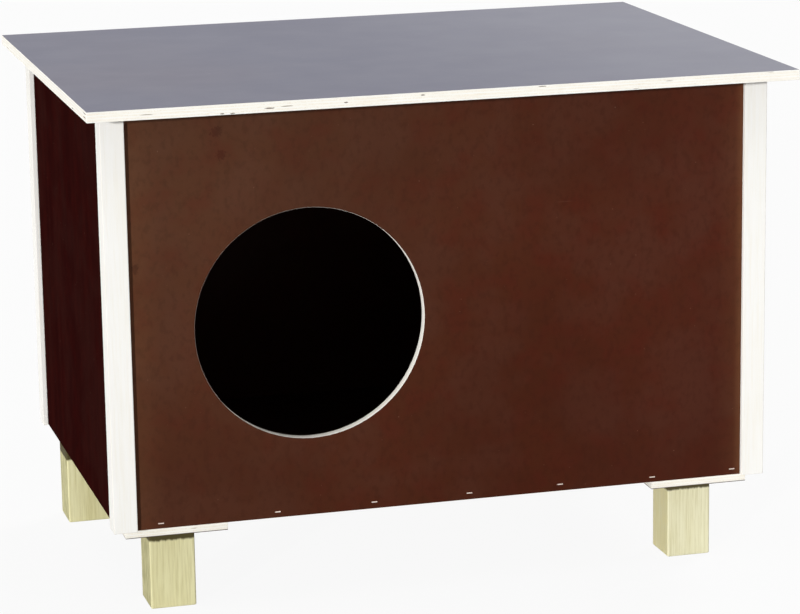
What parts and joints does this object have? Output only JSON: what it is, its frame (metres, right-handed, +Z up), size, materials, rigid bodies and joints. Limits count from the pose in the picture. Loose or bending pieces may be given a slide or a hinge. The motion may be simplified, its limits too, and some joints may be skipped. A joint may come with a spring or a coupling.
{
  "type": "outdoor cat house",
  "caption": "Box-shaped outdoor cat house of film-faced plywood with a round entrance, square corner posts, short legs and a flat overhanging roof hinged at the back.",
  "frame": {"origin": "on the ground below the middle of the roof", "axes": "+X to the right seen from the front, +Y from the entrance side to the hinge side, +Z up"},
  "size_m": [0.696, 0.512, 0.506],
  "materials": {
    "brown_film_board": "plywood with a glossy dark brown phenolic film and raw pale edges",
    "grey_film_board": "plywood with a satin grey film on top and raw pale edges",
    "post_timber": "planed pale softwood",
    "leg_timber": "planed softwood with a greenish pressure treatment",
    "zinc_steel": "zinc-plated steel"
  },
  "bodies": {
    "house": {"floor_panel": "brown_film_board", "front_panel": "brown_film_board", "back_panel": "brown_film_board", "left_panel": "brown_film_board", "right_panel": "brown_film_board", "post_front_left": "post_timber", "post_front_right": "post_timber", "post_back_left": "post_timber", "post_back_right": "post_timber", "leg_plate_front_left": "brown_film_board", "leg_plate_front_right": "brown_film_board", "leg_plate_back_left": "brown_film_board", "leg_plate_back_right": "brown_film_board", "leg_front_left": "leg_timber", "leg_front_right": "leg_timber", "leg_back_left": "leg_timber", "leg_back_right": "leg_timber", "leg_screws": "zinc_steel", "plate_screws": "zinc_steel", "front_staples": "zinc_steel", "back_staples": "zinc_steel", "hinge_left_wall_leaf": "zinc_steel", "hinge_right_wall_leaf": "zinc_steel", "hinge_left_pin": "zinc_steel", "hinge_right_pin": "zinc_steel", "hinge_wall_screws": "zinc_steel"},
    "roof": {"roof_panel": "grey_film_board", "hinge_left_roof_leaf": "zinc_steel", "hinge_right_roof_leaf": "zinc_steel", "hinge_roof_screws": "zinc_steel"}
  },
  "joints": [
    {"name": "roof_hinge", "type": "hinge", "parent": "house", "child": "roof", "pos_m": [-0.21, 0.2183, 0.4907], "axis": [-1, 0, 0], "range_deg": [0, 97]}
  ]
}
